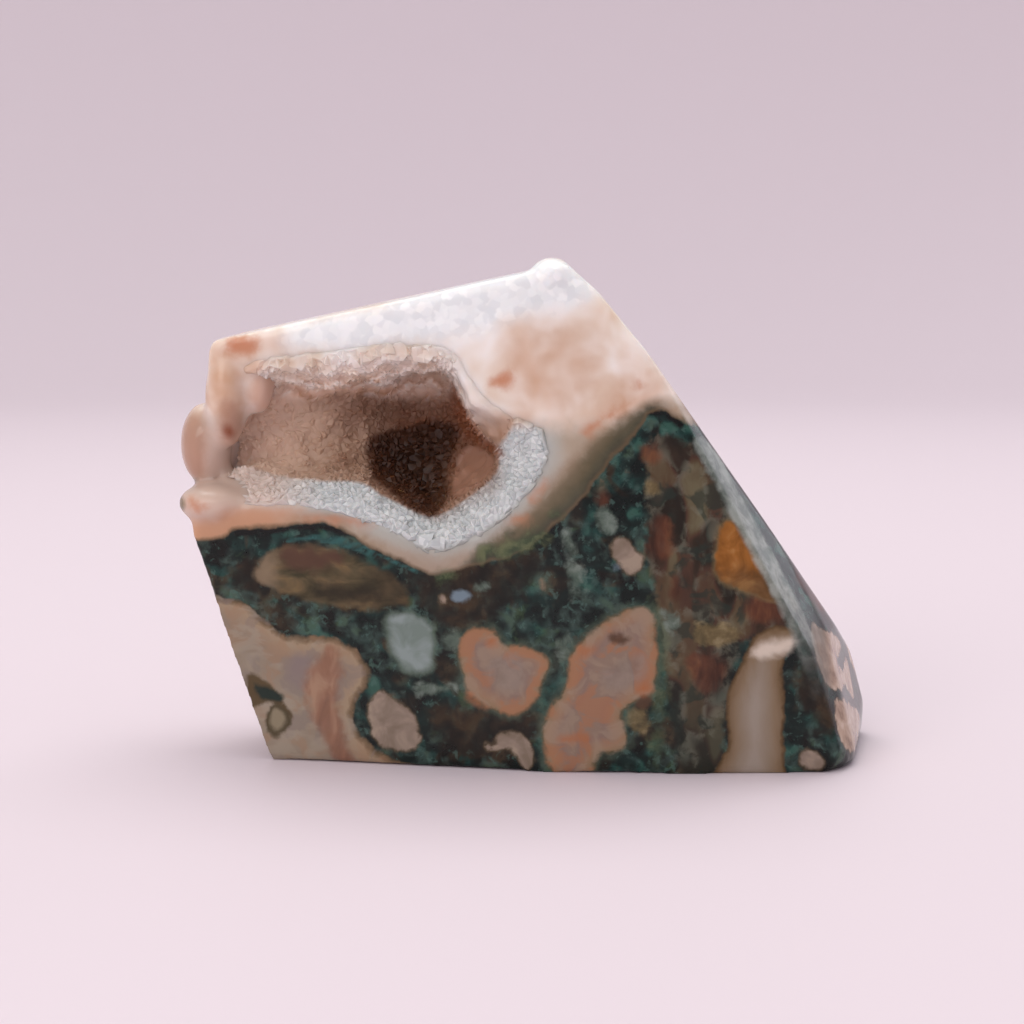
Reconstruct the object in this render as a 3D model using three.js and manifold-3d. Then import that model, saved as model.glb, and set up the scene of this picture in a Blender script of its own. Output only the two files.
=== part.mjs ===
import * as THREE from "three";
import { mergeVertices } from "three/addons/utils/BufferGeometryUtils.js";
import Module from "manifold-3d";

// A piece of moss agate sawn into a leaning freeform and polished, with a hollow lined by quartz crystals.
// Millimetres, +Z up, +X to the right and -Y towards the viewer; the stone stands on z = 0.

const wasm = await Module();
wasm.setup();

// The block before it is sawn
const blockWidth = 110;
const blockDepth = 50;
const blockHeight = 90;
const blockFoot = 5; // how far it reaches below the base before that is sawn

// Every polished facet is one saw cut: a point on it, the compass of its outward side
// (0 front, 90 right, 180 back, -90 left) and how far it looks up, both in degrees.
const facets = [
  { name: "base", at: [0, 0, 0], compass: 0, lookUp: -90 },
  { name: "front left", at: [-34.2, -9.8, 0], compass: -11, lookUp: 3 },
  { name: "front middle", at: [5, -17.2, 0], compass: -2.5, lookUp: 1.5 },
  { name: "front right", at: [25, -17.7, 0], compass: 2.5, lookUp: 1 },
  { name: "front upper right", at: [25, -17.3, 19.5], compass: 3, lookUp: 8 },
  { name: "upper bevel", at: [34.9, -16.6, 20.8], compass: 64, lookUp: 28.6 },
  { name: "lower bevel", at: [38.9, -16.9, 11.2], compass: 60, lookUp: 15 },
  { name: "upper flank", at: [33.1, -7, 31.7], compass: 75, lookUp: 29 },
  { name: "lower flank", at: [47.8, 2, 3.2], compass: 75, lookUp: 15 },
  { name: "flank foot", at: [47.5, 2, 5], compass: 78, lookUp: -4 },
  { name: "foot corner", at: [39.6, -17, 0], compass: 45, lookUp: -30 },
  { name: "foot", at: [48.35, 8, 4], compass: 91, lookUp: 5 },
  { name: "long slope", at: [16, -13, 55.7], compass: 92, lookUp: 35.5 },
  { name: "shoulder", at: [9.3, -12.5, 63.8], compass: 92, lookUp: 39.5 },
  { name: "upper shoulder", at: [6, -12, 66.7], compass: 92, lookUp: 48.7 },
  { name: "top", at: [-43.6, -4.9, 57], compass: -90, lookUp: 77.7 },
  { name: "left lower", at: [-48, -5.4, 35.3], compass: -98, lookUp: -20.3 },
  { name: "left upper", at: [-43.6, -4.9, 57], compass: -96, lookUp: 5.9 },
  { name: "left back", at: [-41, 11, 34], compass: -140, lookUp: -9 },
  { name: "back", at: [0, 16.4, 10], compass: 182, lookUp: 2 },
  { name: "back right", at: [46.2, 10, 3], compass: 124, lookUp: 12 },
  { name: "back upper", at: [-10, 14.5, 58], compass: 172, lookUp: 38 },
];

// The rounded peak at the top, the smooth hanging lobes at the left end and the rounded lip of the
// hollow below them: centre and half widths
const lumpDetail = 3;
const peak = { at: [3, -9, 66], half: [2.9, 4, 2.5] };
const lobes = [
  { name: "rear lobe", at: [-44.8, 0.2, 42.6], half: [3.6, 5.4, 5.9] },
  { name: "front lobe", at: [-41.4, -3.4, 49], half: [3.05, 3.9, 6.9] },
  { name: "small lobe", at: [-37.2, -2, 50.8], half: [2.2, 3.4, 4.2] },
  { name: "lip", at: [-43.2, -3.4, 34.7], half: [5.2, 4.7, 2.9] },
];

// The hollow, as x and z on the front face, going round from the left end; it opens through that end
const hollowCentre = [-22, 45];
const contactOutline = [
  [-57, 33], [-44.3, 33.3], [-38, 34.8], [-31, 35], [-24.2, 33.8], [-17.3, 31.3],
  [-12.9, 28.6], [-7.9, 30.5], [-2.6, 34.1], [1.4, 38.8], [3, 42.8], [1.7, 46.3],
  [-2.6, 47.5], [-6, 49.8], [-7.9, 52.8], [-9.9, 56.4], [-17.3, 57.1], [-25.4, 56],
  [-32.9, 55.1], [-38.5, 54.2], [-43.7, 53.4], [-57, 51.5],
];
const openingOutline = [
  [-57, 34.5], [-45.3, 36.5], [-42.8, 37.7], [-40, 39.5], [-37.5, 38.8], [-33, 37.8],
  [-27.1, 38.6], [-22.2, 38.5], [-20.3, 36.9], [-18, 35.8], [-12.9, 33.2], [-7.3, 36.7],
  [-3.5, 40.1], [-4.2, 43.6], [-6.6, 45.1], [-9, 50], [-10.4, 53.4], [-15, 53.6],
  [-20.7, 52.3], [-27, 51.1], [-34.1, 51.9], [-39.8, 50.8], [-44.7, 49.4], [-57, 48],
];
const shallowBack = 5; // y of the back of the stone's hollow at its left
const caveBack = 12; // and in the cave at the right
const caveStart = -27; // the back falls from the one to the other between these two x
const caveEnd = -15;
const ripples = { height: 0.45, across: 0.83, up: 0.74, sway: 1.3, skew: 0.35 };
const wallPower = 3.2; // how square the walls stand to the back
const wallSteps = 14;
const lipDepth = 1; // the straight lip of the stone behind the face
const mouthY = -21; // where the cutting shapes end, in front of the whole face
const mouthShare = 0.3; // how densely their front is covered with points, against their walls
const contactDetail = 9;

// The crystal crust
const crustGap = 0.35;
const crustThickness = 2.6;
const flareDepth = 4.2;
const flareBow = 0.4; // share of that depth reached halfway in
const edgeWidth = 1.3; // the sawn edge of the crust in the front face
const edgeDepth = 0.2;
const liningDetail = 14;
const crystalHeight = [0.5, 1.3];
const crystalLean = 0.3;
const baseShift = 0.22; // how far the corners between crystals wander
const crystalStart = 0.1; // crystals begin this far behind the face

const radians = Math.PI / 180;

// A seeded random number from 0 to 1, so that each build gives the same crystals
let seed = 20417;
function random() {
  seed = (seed * 16807) % 2147483647;
  return seed / 2147483647;
}

function randomBetween(low, high) {
  return low + (high - low) * random();
}

function smoothStep(low, high, value) {
  const t = Math.min(1, Math.max(0, (value - low) / (high - low)));
  return t * t * (3 - 2 * t);
}

function solidOf(geometry) {
  const bare = geometry.clone();
  bare.deleteAttribute("normal");
  bare.deleteAttribute("uv");
  const merged = mergeVertices(bare, 1e-4);
  return new wasm.Manifold(new wasm.Mesh({
    numProp: 3,
    vertProperties: merged.attributes.position.array,
    triVerts: new Uint32Array(merged.index.array),
  }));
}

function geometryOf(solid) {
  const mesh = solid.getMesh();
  const geometry = new THREE.BufferGeometry();
  geometry.setAttribute("position", new THREE.BufferAttribute(mesh.vertProperties, 3));
  geometry.setIndex(new THREE.BufferAttribute(mesh.triVerts, 1));
  return geometry;
}

function outwardOf({ compass, lookUp }) {
  const level = Math.cos(lookUp * radians);
  return new THREE.Vector3(
    Math.sin(compass * radians) * level,
    -Math.cos(compass * radians) * level,
    Math.sin(lookUp * radians),
  );
}

// What the saw takes away outside one facet
function sawCut(facet) {
  const size = blockWidth * 2;
  const waste = new THREE.BoxGeometry(size, size, size);
  waste.translate(0, 0, size / 2);
  const turn = new THREE.Quaternion().setFromUnitVectors(new THREE.Vector3(0, 0, 1), outwardOf(facet));
  waste.applyQuaternion(turn);
  waste.translate(...facet.at);
  return solidOf(waste);
}

function lump({ at, half }, grow = 0) {
  const geometry = new THREE.IcosahedronGeometry(1, lumpDetail);
  geometry.scale(half[0] + grow, half[1] + grow, half[2] + grow);
  geometry.translate(...at);
  return solidOf(geometry);
}

function makeBlock() {
  const rough = new THREE.BoxGeometry(blockWidth, blockDepth, blockHeight);
  rough.translate(0, 0, blockHeight / 2 - blockFoot);
  return facets.reduce((stone, facet) => stone.subtract(sawCut(facet)), solidOf(rough));
}

// y of the front face at x, z: the front facets make a convex face, so the rearmost plane wins
const frontFacets = facets.filter((facet) => facet.name.startsWith("front"));
function frontAt(x, z) {
  const depths = frontFacets.map((facet) => {
    const out = outwardOf(facet);
    return facet.at[1] - (out.x * (x - facet.at[0]) + out.z * (z - facet.at[2])) / out.y;
  });
  return Math.max(...depths);
}

// How far an outline reaches from the hollow's centre at an angle in the face
function reachAt(outline, angle) {
  const [cx, cz] = hollowCentre;
  const dx = Math.cos(angle);
  const dz = Math.sin(angle);
  let reach = 0;
  outline.forEach(([ax, az], i) => {
    const [bx, bz] = outline[(i + 1) % outline.length];
    const ex = bx - ax;
    const ez = bz - az;
    const cross = dx * ez - dz * ex;
    if (cross === 0) return;
    const along = ((ax - cx) * ez - (az - cz) * ex) / cross;
    const share = ((ax - cx) * dz - (az - cz) * dx) / cross;
    if (along > 0 && share >= 0 && share <= 1) reach = Math.max(reach, along);
  });
  return reach;
}

// y of the back of the stone's hollow: shallow at the left, a cave at the right
function backAt(x, z) {
  const cave = smoothStep(caveStart, caveEnd, x);
  return shallowBack + (caveBack - shallowBack) * cave + ripple(x, z);
}

// Low ripples, so that the back isn't flat
function ripple(x, z) {
  const { height, across, up, sway, skew } = ripples;
  return height * Math.sin(x * across + sway * Math.sin(z * skew)) * Math.sin(z * up + x * skew);
}

// The way from the rim in front of the face to the middle of the back, at one angle round the hollow
function contactPath(angle, shrink) {
  const reach = reachAt(contactOutline, angle) - shrink;
  return [
    { reach, y: () => mouthY },
    { reach, y: (face) => face + lipDepth },
    ...wallPath(reach, lipDepth, shrink),
  ];
}

// The inside of the crust: a flare behind the sawn edge, then the lining
function liningPath(angle) {
  const opening = reachAt(openingOutline, angle);
  const edge = Math.max(opening, reachAt(contactOutline, angle) - edgeWidth);
  return [
    { reach: edge, y: () => mouthY },
    { reach: edge, y: (face) => face + edgeDepth },
    { reach: (edge + opening) / 2, y: (face) => face + flareDepth * flareBow },
    ...wallPath(opening, flareDepth, crustThickness),
  ];
}

// Steep walls that round into the back
function wallPath(reach, faceOffset, thickness) {
  return Array.from({ length: wallSteps + 1 }, (_, step) => {
    const scale = Math.cos((step / wallSteps) * (Math.PI / 2));
    const depth = (1 - scale ** wallPower) ** (1 / wallPower);
    const y = (face, back) => face + faceOffset + (back - thickness - face - faceOffset) * depth;
    return { reach: reach * scale, y };
  });
}

function pathPoints(path, angle) {
  return path.map(({ reach, y }) => {
    const x = hollowCentre[0] + reach * Math.cos(angle);
    const z = hollowCentre[1] + reach * Math.sin(angle);
    return new THREE.Vector3(x, y(frontAt(x, z), backAt(x, z)), z);
  });
}

// The angle round the hollow's centre at a share of the way round its rim
const rim = new THREE.CatmullRomCurve3(
  contactOutline.map(([x, z]) => new THREE.Vector3(x - hollowCentre[0], 0, z - hollowCentre[1])),
  true,
);
function rimAngle(share) {
  const { x, z } = rim.getPointAt(share);
  return Math.atan2(z, x);
}

// Where a direction of the unit ball lands: evenly round the rim, then along the path by equal areas,
// with fewer points on the stretch in front of the face
function bagPoint(direction, pathAt) {
  const turn = Math.atan2(-direction.z, -direction.x) / (2 * Math.PI) + 0.5;
  const angle = rimAngle(turn % 1);
  const path = [{ reach: 0, y: () => mouthY }, ...pathAt(angle)];
  const points = pathPoints(path, angle);
  const areas = points.slice(1).map((point, i) => {
    const share = i < 2 ? mouthShare : 1;
    return (share * point.distanceTo(points[i]) * (path[i].reach + path[i + 1].reach)) / 2;
  });
  const whole = areas.reduce((sum, area) => sum + area, 0);
  let left = ((1 + direction.y) / 2) * whole;
  let i = 0;
  while (i < areas.length - 1 && left > areas[i]) {
    left -= areas[i];
    i += 1;
  }
  const share = Math.min(1, left / areas[i]);
  return points[i].clone().lerp(points[i + 1], i === 0 ? Math.sqrt(share) : share);
}

// A closed ball whose points are sent to the walls of the hollow
function bagGeometry(detail, pathAt) {
  const ball = new THREE.IcosahedronGeometry(1, detail);
  ball.deleteAttribute("normal");
  ball.deleteAttribute("uv");
  const bag = mergeVertices(ball, 1e-4);
  const places = bag.attributes.position;
  const direction = new THREE.Vector3();
  for (let i = 0; i < places.count; i++) {
    direction.fromBufferAttribute(places, i);
    const { x, y, z } = bagPoint(direction, pathAt);
    places.setXYZ(i, x, y, z);
  }
  return bag;
}

// Flat-faced crystals: corners of the lining that don't touch each other are raised into pyramids
function raiseCrystals(bag) {
  const places = bag.attributes.position;
  bag.computeVertexNormals();
  const normals = bag.attributes.normal;
  const neighbours = Array.from({ length: places.count }, () => new Set());
  const corners = bag.index.array;
  for (let i = 0; i < corners.length; i += 3) {
    const [a, b, c] = corners.slice(i, i + 3);
    neighbours[a].add(b).add(c);
    neighbours[b].add(a).add(c);
    neighbours[c].add(a).add(b);
  }
  const raised = new Set();
  const point = new THREE.Vector3();
  const inward = new THREE.Vector3();
  const jitter = (size) => new THREE.Vector3(
    randomBetween(-size, size),
    randomBetween(-size, size),
    randomBetween(-size, size),
  );
  for (let i = 0; i < places.count; i++) {
    point.fromBufferAttribute(places, i);
    if (point.y < frontAt(point.x, point.z) + crystalStart) continue;
    inward.fromBufferAttribute(normals, i).negate();
    const tip = ![...neighbours[i]].some((other) => raised.has(other));
    if (tip) raised.add(i);
    const height = tip ? randomBetween(...crystalHeight) : 0;
    point.addScaledVector(inward.add(jitter(tip ? crystalLean : 0)), height);
    point.add(jitter(tip ? 0 : baseShift));
    places.setXYZ(i, point.x, point.y, point.z);
  }
  return bag;
}

function makeStone() {
  const hollow = solidOf(bagGeometry(contactDetail, (angle) => contactPath(angle, 0)));
  const opened = makeBlock().subtract(hollow);
  return [peak, ...lobes].reduce((stone, form) => stone.add(lump(form)), opened);
}

function makeCrust() {
  const filling = solidOf(bagGeometry(contactDetail, (angle) => contactPath(angle, crustGap)));
  const room = filling.intersect(makeBlock());
  const lining = solidOf(raiseCrystals(bagGeometry(liningDetail, liningPath)));
  const crust = lobes.reduce((rest, form) => rest.subtract(lump(form, crustGap)), room.subtract(lining));
  const pieces = crust.decompose();
  return pieces.reduce((largest, piece) => (piece.volume() > largest.volume() ? piece : largest));
}

function addMesh(group, name, solid, look) {
  const mesh = new THREE.Mesh(geometryOf(solid), new THREE.MeshStandardMaterial(look));
  mesh.name = name;
  group.add(mesh);
}

const agate = new THREE.Group();
addMesh(agate, "agate_stone", makeStone(), { color: 0x4f5a4c, roughness: 0.18, metalness: 0 });
addMesh(agate, "druzy_crust", makeCrust(), { color: 0xe4dfdc, roughness: 0.3, metalness: 0 });

export default agate;
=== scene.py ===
import math

import bpy
import numpy as np
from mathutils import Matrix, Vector, noise
from mathutils.bvhtree import BVHTree


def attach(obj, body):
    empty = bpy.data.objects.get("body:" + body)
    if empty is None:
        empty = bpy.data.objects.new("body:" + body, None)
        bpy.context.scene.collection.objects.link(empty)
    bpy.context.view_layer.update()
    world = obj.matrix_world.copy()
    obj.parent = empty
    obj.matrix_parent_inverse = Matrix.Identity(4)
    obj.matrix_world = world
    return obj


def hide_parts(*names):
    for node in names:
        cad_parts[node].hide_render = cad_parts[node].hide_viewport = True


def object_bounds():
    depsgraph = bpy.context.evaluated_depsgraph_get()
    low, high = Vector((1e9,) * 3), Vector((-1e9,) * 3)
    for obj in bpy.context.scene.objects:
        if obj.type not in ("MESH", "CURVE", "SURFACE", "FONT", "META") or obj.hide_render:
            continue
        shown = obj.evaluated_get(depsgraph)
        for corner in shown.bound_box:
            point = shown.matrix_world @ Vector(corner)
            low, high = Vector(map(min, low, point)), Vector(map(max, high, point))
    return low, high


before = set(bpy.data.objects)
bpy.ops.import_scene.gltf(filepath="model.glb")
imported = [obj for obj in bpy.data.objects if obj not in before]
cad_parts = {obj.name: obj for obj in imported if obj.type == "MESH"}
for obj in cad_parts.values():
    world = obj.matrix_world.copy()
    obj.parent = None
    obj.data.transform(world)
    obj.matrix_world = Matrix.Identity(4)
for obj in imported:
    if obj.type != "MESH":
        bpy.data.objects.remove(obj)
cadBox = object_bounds()
mm = 0.001  # the frame is in metres, the sizes below are in millimetres
merged = 0.001  # corners nearer than this are one
creased = 24.0  # edges that turn more than this many degrees look sharp


# Small tools for meshes

def mode(name):
    bpy.ops.object.mode_set(mode=name)


def selectOnly(*pieces):
    if bpy.context.object and bpy.context.object.mode != "OBJECT":
        mode("OBJECT")
    bpy.ops.object.select_all(action="DESELECT")
    for piece in pieces:
        piece.select_set(True)
    bpy.context.view_layer.objects.active = pieces[0]


def applyModifier(piece, kind, **settings):
    selectOnly(piece)
    modifier = piece.modifiers.new(kind.title(), kind)
    for name, value in settings.items():
        setattr(modifier, name, value)
    bpy.ops.object.modifier_apply(modifier=modifier.name)


def copyOfNode(nodeName, pieceName):
    piece = bpy.data.objects.new(pieceName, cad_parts[nodeName].data.copy())
    bpy.context.scene.collection.objects.link(piece)
    piece.data.name = pieceName
    piece.data.materials.clear()
    selectOnly(piece)
    mode("EDIT")
    bpy.ops.mesh.select_all(action="SELECT")
    bpy.ops.mesh.remove_doubles(threshold=merged * mm)
    mode("OBJECT")
    return piece


def vectorsOf(items, name):
    flat = np.zeros(len(items) * 3)
    items.foreach_get(name, flat)
    return flat.reshape(-1, 3)


def pointsOf(piece):
    return vectorsOf(piece.data.vertices, "co") / mm


def normalsOf(piece):
    return vectorsOf(piece.data.vertex_normals, "vector")


def setPoints(piece, points):
    piece.data.vertices.foreach_set("co", (points * mm).ravel())
    piece.data.update()


def keepInside(piece):
    low = np.array(cadBox[0]) / mm
    high = np.array(cadBox[1]) / mm
    setPoints(piece, np.clip(pointsOf(piece), low, high))


def noteOn(piece, name, values):
    attribute = piece.data.attributes.new(name, "FLOAT", "POINT")
    attribute.data.foreach_set("value", np.asarray(values, dtype=np.float32))


def smoothStep(low, high, values):
    share = np.clip((values - low) / (high - low), 0, 1)
    return share * share * (3 - 2 * share)


def noiseAt(points, size, seed):
    shift = Vector((seed * 7.1, seed * 3.7, seed * 5.3))
    return np.array([noise.noise(Vector(point) / size + shift) for point in points])


def finishPiece(piece, node, material):
    selectOnly(piece)
    bpy.ops.object.shade_smooth_by_angle(angle=math.radians(creased))
    piece.data.materials.append(material)
    keepInside(piece)
    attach(piece, "root")
    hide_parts(node)
    print(piece.name, len(piece.data.polygons), "faces")


# Outlines on the stone, in millimetres

rounds = 2  # each cuts the corners of an outline once
reach = 8.0  # farther out than this, an outline isn't noticed


def roundedOff(outline, closed):
    points = np.array(outline, float)
    for _ in range(rounds):
        following = np.roll(points, -1, axis=0)
        near = 0.75 * points + 0.25 * following
        far = 0.25 * points + 0.75 * following
        cut = np.stack([near, far], axis=1)
        if closed:
            points = cut.reshape(-1, 2)
        else:
            points = np.vstack([points[:1], cut[:-1].reshape(-1, 2), points[-1:]])
    return points


def distanceInside(places, outline, closed=True):
    points = roundedOff(outline, closed)
    low = points.min(axis=0) - reach
    high = points.max(axis=0) + reach
    near = np.all((places > low) & (places < high), axis=1)
    spots = places[near]
    best = np.full(len(spots), reach * reach)
    inside = np.zeros(len(spots), bool)
    ends = np.roll(points, -1, axis=0)
    pairs = list(zip(points, ends))
    if not closed:
        pairs.pop()
    for start, end in pairs:
        along = end - start
        offset = spots - start
        share = np.clip(offset @ along / max(along @ along, 1e-9), 0, 1)
        gap = offset - share[:, None] * along
        best = np.minimum(best, (gap * gap).sum(axis=1))
        if closed and start[1] != end[1]:
            crosses = (start[1] > spots[:, 1]) != (end[1] > spots[:, 1])
            edgeX = start[0] + (spots[:, 1] - start[1]) * along[0] / along[1]
            inside ^= crosses & (spots[:, 0] < edgeX)
    distance = np.sqrt(best)
    result = np.full(len(places), -reach)
    result[near] = np.where(inside, distance, -distance)
    return result


# Sums of sockets and nodes for the materials

def arithmetic(operation, turned=False):
    def combine(self, other):
        pair = {0: other, 1: self} if turned else {0: self, 1: other}
        return self.vat.node("Math", {"operation": operation}, pair)
    return combine


class Dye:
    __add__ = __radd__ = arithmetic("ADD")
    __sub__ = arithmetic("SUBTRACT")
    __rsub__ = arithmetic("SUBTRACT", turned=True)
    __mul__ = __rmul__ = arithmetic("MULTIPLY")
    __truediv__ = arithmetic("DIVIDE")

    def __init__(self, vat, socket):
        self.vat = vat
        self.socket = socket


def colour(code):
    channels = [int(code[at:at + 2], 16) / 255 for at in (1, 3, 5)]
    return [c / 12.92 if c <= 0.04045 else ((c + 0.055) / 1.055) ** 2.4 for c in channels] + [1.0]


class Vat:
    def __init__(self, name):
        self.material = bpy.data.materials.new(name)
        self.material.use_nodes = True
        self.tree = self.material.node_tree
        self.tree.nodes.clear()

    def node(self, kind, settings, inputs, output=0):
        node = self.tree.nodes.new("ShaderNode" + kind)
        for name, value in settings.items():
            if name == "stops":
                self.setStops(node.color_ramp, value)
            else:
                setattr(node, name, value)
        for key, value in inputs.items():
            socket = self.find(node.inputs, key)
            if isinstance(value, Dye):
                self.tree.links.new(value.socket, socket)
            elif isinstance(value, str):
                socket.default_value = colour(value)
            else:
                socket.default_value = value
        return Dye(self, self.find(node.outputs, output)) if len(node.outputs) else None

    def find(self, sockets, key):
        if isinstance(key, int):
            return sockets[key]
        return next(socket for socket in sockets if key in (socket.identifier, socket.name))

    def setStops(self, ramp, stops):
        while len(ramp.elements) < len(stops):
            ramp.elements.new(1.0)
        for element, (position, code) in zip(ramp.elements, stops.items()):
            element.position = position
            element.color = colour(code)

    def places(self, stretch=(1.0, 1.0, 1.0), shift=(0.0, 0.0, 0.0)):
        here = self.node("TexCoord", {}, {}, "Object")
        scale = [1 / mm * factor for factor in stretch]
        return self.node("Mapping", {}, {"Vector": here, "Scale": scale, "Location": shift})

    def cloud(self, places, size, detail=3.0, roughness=0.5, distortion=0.6):
        values = {"Vector": places, "Scale": 1 / size, "Detail": detail,
                  "Roughness": roughness, "Distortion": distortion}
        return self.node("TexNoise", {}, values, "Fac")

    def shaken(self, places, size, amount):
        values = {"Vector": places, "Scale": 1 / size, "Detail": 1.0}
        shake = self.node("TexNoise", {}, values, "Color")
        return self.node("VectorMath", {"operation": "MULTIPLY_ADD"},
                         {0: shake, 1: (amount, amount, amount), 2: places})

    def mottle(self, places, size, shake, smoothness=0.5):
        values = {"Vector": self.shaken(places, size, shake), "Scale": 1 / size, "Smoothness": smoothness}
        cells = self.node("TexVoronoi", {"feature": "SMOOTH_F1"}, values, "Color")
        return self.node("SeparateColor", {}, {"Color": cells}, "Red")

    def seams(self, places, size, shake, width):
        values = {"Vector": self.shaken(places, size, shake), "Scale": 1 / size}
        gap = self.node("TexVoronoi", {"feature": "DISTANCE_TO_EDGE"}, values, "Distance")
        return self.step(width / size, 0.0, gap)

    def along(self, places, axis):
        return self.node("SeparateXYZ", {}, {"Vector": places}, axis)

    def step(self, low, high, value):
        return self.node("MapRange", {"interpolation_type": "SMOOTHSTEP"},
                         {"Value": value, "From Min": low, "From Max": high})

    def ramp(self, value, stops):
        return self.node("ValToRGB", {"stops": stops}, {"Fac": value}, "Color")

    def mix(self, share, first, second):
        return self.node("Mix", {"data_type": "RGBA"},
                         {"Factor_Float": share, "A_Color": first, "B_Color": second}, "Result_Color")

    def over(self, under, tone, field, low, high, strength=1.0):
        return self.mix(self.step(low, high, field) * strength, under, tone)

    def lay(self, under, ragged, name, tone, soft, rough=1.0, grow=0.0, strength=1.0):
        return self.over(under, tone, self.note(name) + ragged * rough + grow, -soft, soft, strength)

    def layers(self, under, ragged, rows):
        for row in rows:
            under = self.lay(under, ragged, *row)
        return under

    def note(self, name):
        return self.node("Attribute", {"attribute_name": name}, {}, "Fac")

    def shader(self, values):
        return self.node("BsdfPrincipled", {}, values)

    def quartzShader(self, tone, rough, gloss, weight, radius, depth, clear=0.0):
        return self.shader({
            "Base Color": tone, "Roughness": rough, "IOR": 1.54, "Specular IOR Level": gloss,
            "Transmission Weight": clear, "Subsurface Weight": weight,
            "Subsurface Radius": radius, "Subsurface Scale": depth * mm})

    def finish(self, shader):
        self.node("OutputMaterial", {}, {"Surface": shader})
        return self.material


# The polished stone

stone = {
    "fineness": 0.48,  # side of a surface cell
    "rubs": 4,  # how far all edges are rubbed round
    "wornRounds": 44,  # and the sawn edges once more
    "wornEdges": 0.5,
    "wornFrom": (1.5, 4.0),  # nowhere and everywhere this far from the crust
    "foot": (45.0, -12.0, 0.0),  # the corner at the right of the base is the roundest
    "footReach": (9.0, 4.0),
    "lobes": (-43.0, -3.0, 42.0),  # the lobes at the left end run softly into each other
    "lobesReach": (16.0, 11.0),
    "lobesWorn": 0.35,
    "backed": 0.8,  # nearer than this to the stone, the crust is backed by it
    "crustGap": 0.45,  # the backing is let this far into the stone, so that no gap shows
    "underCrust": (0.24, 0.9),  # the backing lies this far under the crust, at its edge and farther in
    "underFrom": (0.8, 2.2),
    "facesFront": (-0.3, -0.7),
    "waviness": 0.05,  # hand polish is never quite flat
    "waveSize": 11.0,
    "waveSunk": 0.6,  # share of a wave that lies under the sawn face
    "mouthY": -13.0,  # where the hollow opens, for outlines that are seen from the front
}

# Front facets as x, y of a point and the facet's turn in degrees
frontFacets = [(-34.2, -9.8, -11.0), (5.0, -17.2, -2.5), (25.0, -17.7, 2.5)]


def crustCopy(pieceName):
    piece = copyOfNode("druzy_crust", pieceName)
    applyModifier(piece, "REMESH", mode="VOXEL", voxel_size=crust["fineness"] * mm)
    applyModifier(piece, "SMOOTH", factor=0.5, iterations=stone["rubs"])
    return piece


def awayFrom(nodeName, piece):
    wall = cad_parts[nodeName].data
    tree = BVHTree.FromPolygons([v.co for v in wall.vertices], [list(f.vertices) for f in wall.polygons])
    spots = [v.co for v in piece.data.vertices]
    nearest = [tree.find_nearest(spot) for spot in spots]
    gaps = [math.copysign(hit[3], (spot - hit[0]).dot(hit[1])) for spot, hit in zip(spots, nearest)]
    return np.array(gaps) / mm  # negative inside the node


def wearEdges(piece):
    points = pointsOf(piece)
    free = smoothStep(*stone["wornFrom"], awayFrom("druzy_crust", piece))
    toFoot = np.linalg.norm(points - stone["foot"], axis=1)
    toLobes = np.linalg.norm(points - stone["lobes"], axis=1)
    weights = free * np.maximum(stone["wornEdges"], smoothStep(*stone["footReach"], toFoot))
    weights = np.maximum(weights, stone["lobesWorn"] * smoothStep(*stone["lobesReach"], toLobes))
    group = piece.vertex_groups.new(name="worn")
    for index, weight in enumerate(weights):
        group.add([index], weight, "REPLACE")
    applyModifier(piece, "SMOOTH", factor=0.5, iterations=stone["wornRounds"], vertex_group="worn")
    piece.vertex_groups.clear()


def makeStone():
    piece = copyOfNode("agate_stone", "agate_stone_dressed")
    filling = crustCopy("filling")
    away = awayFrom("agate_stone", filling)
    normals = normalsOf(filling)
    inward = np.maximum(normals, (0, 0, -1))  # away from the open front and left end
    shallow, deep = stone["underCrust"]
    under = shallow + (deep - shallow) * smoothStep(*stone["underFrom"], away)
    onFace = smoothStep(*stone["facesFront"], normals[:, 1])
    under = np.where(away < stone["backed"], shallow * onFace, under)
    gap = np.where(away < stone["backed"], stone["crustGap"], 0)
    setPoints(filling, pointsOf(filling) + gap[:, None] * inward - under[:, None] * normals)
    selectOnly(piece, filling)
    bpy.ops.object.join()
    applyModifier(piece, "REMESH", mode="VOXEL", voxel_size=stone["fineness"] * mm)
    applyModifier(piece, "SMOOTH", factor=0.5, iterations=stone["rubs"])
    wearEdges(piece)
    points = pointsOf(piece)
    wave = noiseAt(points, stone["waveSize"], 1) - stone["waveSunk"]
    setPoints(piece, points + stone["waviness"] * wave[:, None] * normalsOf(piece))
    return piece


# The pattern: how fast a patch closes with depth, and outlines as x and height on the front face

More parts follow.
